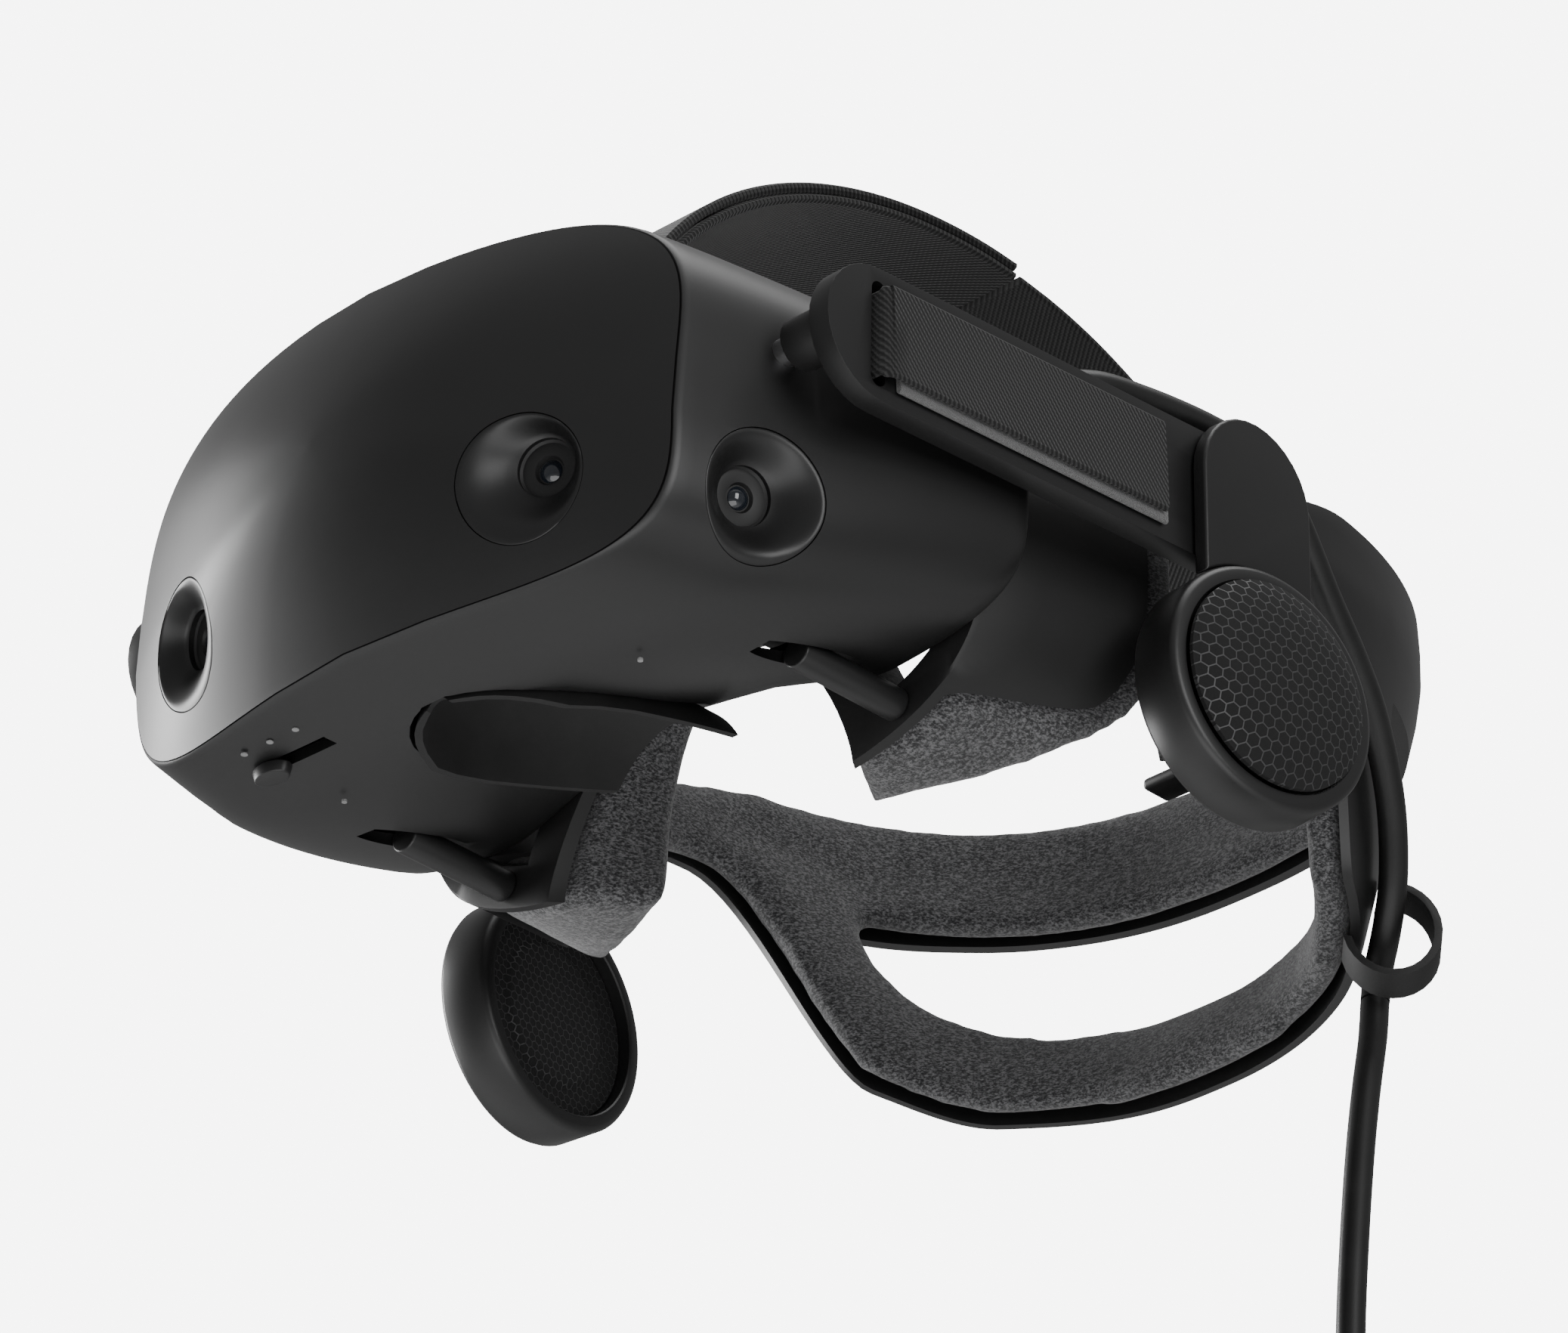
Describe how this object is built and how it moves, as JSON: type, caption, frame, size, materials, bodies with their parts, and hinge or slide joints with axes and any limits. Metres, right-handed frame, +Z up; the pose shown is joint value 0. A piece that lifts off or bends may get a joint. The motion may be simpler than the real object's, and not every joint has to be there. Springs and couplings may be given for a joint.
{
  "type": "virtual reality headset",
  "caption": "Wired head-mounted display with a crowned visor, side arms, a padded rear halo, a crown strap, off-ear speakers and a coiled cable.",
  "frame": {"origin": "midpoint between the two ear speakers, the middle of the wearer's head", "axes": "+X to the wearer's left, -Y the way the wearer faces, +Z up"},
  "size_m": [0.2214, 0.2741, 0.4392],
  "materials": {
    "satin_black_plastic": "satin, very fine grain",
    "matte_black_plastic": "matte",
    "black_rubber": "matte",
    "charcoal_cloth": "knitted heather cloth over foam",
    "black_webbing": "woven twill webbing",
    "lens_glass": "polished, coated",
    "grille_mesh": "open hexagonal mesh over dark cloth",
    "steel": "brushed",
    "circuit_board": "solder mask"
  },
  "bodies": {
    "arms": {"arm_left": "satin_black_plastic", "arm_right": "satin_black_plastic", "side_strap_left": "black_webbing", "side_strap_right": "black_webbing", "cable_arm_run": "black_rubber", "crown_strap_front": "black_webbing", "crown_strap_fold": "black_webbing"},
    "visor": {"front_cover": "satin_black_plastic", "main_housing": "satin_black_plastic", "nose_guard": "black_rubber", "eye_plate": "matte_black_plastic", "mainboard": "circuit_board", "crown_anchor": "satin_black_plastic", "cable_gland": "black_rubber", "arm_pivot_left": "steel", "arm_pivot_right": "steel", "arm_spacer_left": "matte_black_plastic", "arm_spacer_right": "matte_black_plastic", "camera_bezel_front_left": "satin_black_plastic", "camera_module_front_left": "lens_glass", "camera_bezel_front_right": "satin_black_plastic", "camera_module_front_right": "lens_glass", "camera_bezel_side_left": "satin_black_plastic", "camera_module_side_left": "lens_glass", "camera_bezel_side_right": "satin_black_plastic", "camera_module_side_right": "lens_glass"},
    "lens_left": {"lens_barrel_left": "matte_black_plastic", "lens_left": "lens_glass", "display_left": "lens_glass"},
    "lens_right": {"lens_barrel_right": "matte_black_plastic", "lens_right": "lens_glass", "display_right": "lens_glass"},
    "ipd_slider": {"ipd_knob": "satin_black_plastic"},
    "gasket": {"gasket_frame": "matte_black_plastic", "face_cushion": "charcoal_cloth", "gasket_post_left": "satin_black_plastic", "gasket_post_right": "satin_black_plastic"},
    "halo": {"halo_shell": "satin_black_plastic", "halo_cushion": "charcoal_cloth", "crown_strap_rear": "black_webbing", "cable_halo_run": "black_rubber", "cable_clip": "black_rubber", "cable_free": "black_rubber", "cable_coil": "black_rubber", "cable_tail": "black_rubber", "cable_tie": "black_webbing", "cable_plug": "matte_black_plastic", "plug_shell": "steel"},
    "speaker_slide_left": {"hanger_pin_left": "steel"},
    "speaker_left": {"speaker_hanger_left": "satin_black_plastic", "speaker_ring_left": "satin_black_plastic", "speaker_dome_left": "grille_mesh", "speaker_mesh_left": "grille_mesh", "speaker_driver_left": "black_rubber"},
    "speaker_slide_right": {"hanger_pin_right": "steel"},
    "speaker_right": {"speaker_hanger_right": "satin_black_plastic", "speaker_ring_right": "satin_black_plastic", "speaker_dome_right": "grille_mesh", "speaker_mesh_right": "grille_mesh", "speaker_driver_right": "black_rubber"}
  },
  "joints": [
    {"name": "visor_pitch", "type": "hinge", "parent": "arms", "child": "visor", "pos_m": [0, -0.1132, 0.0346], "axis": [1, 0, 0], "range_deg": [-10, 15]},
    {"name": "lens_left_slide", "type": "slide", "parent": "visor", "child": "lens_left", "axis": [-1, 0, 0], "range_m": [0, 0.004]},
    {"name": "lens_right_slide", "type": "slide", "parent": "visor", "child": "lens_right", "axis": [1, 0, 0], "range_m": [0, 0.004]},
    {"name": "ipd_slide", "type": "slide", "parent": "visor", "child": "ipd_slider", "axis": [1, 0, 0], "range_m": [0, 0.0144]},
    {"name": "eye_relief_slide", "type": "slide", "parent": "visor", "child": "gasket", "axis": [0, 1, 0], "range_m": [0, 0.008]},
    {"name": "halo_slide", "type": "slide", "parent": "arms", "child": "halo", "axis": [0, 1, 0], "range_m": [0, 0.015]},
    {"name": "speaker_height_left", "type": "slide", "parent": "arms", "child": "speaker_slide_left", "axis": [0, 0, 1], "range_m": [-0.009, 0]},
    {"name": "speaker_swing_left", "type": "hinge", "parent": "speaker_slide_left", "child": "speaker_left", "pos_m": [0.0985, -0.0012, 0.0452], "axis": [1, 0, 0], "range_deg": [-9, 20]},
    {"name": "speaker_height_right", "type": "slide", "parent": "arms", "child": "speaker_slide_right", "axis": [0, 0, 1], "range_m": [-0.009, 0]},
    {"name": "speaker_swing_right", "type": "hinge", "parent": "speaker_slide_right", "child": "speaker_right", "pos_m": [-0.0985, -0.0012, 0.0452], "axis": [1, 0, 0], "range_deg": [-9, 20]}
  ],
  "couplings": [
    {"joint": "lens_right_slide", "follows": "lens_left_slide", "ratio": 1},
    {"joint": "ipd_slide", "follows": "lens_left_slide", "ratio": 3.6}
  ]
}
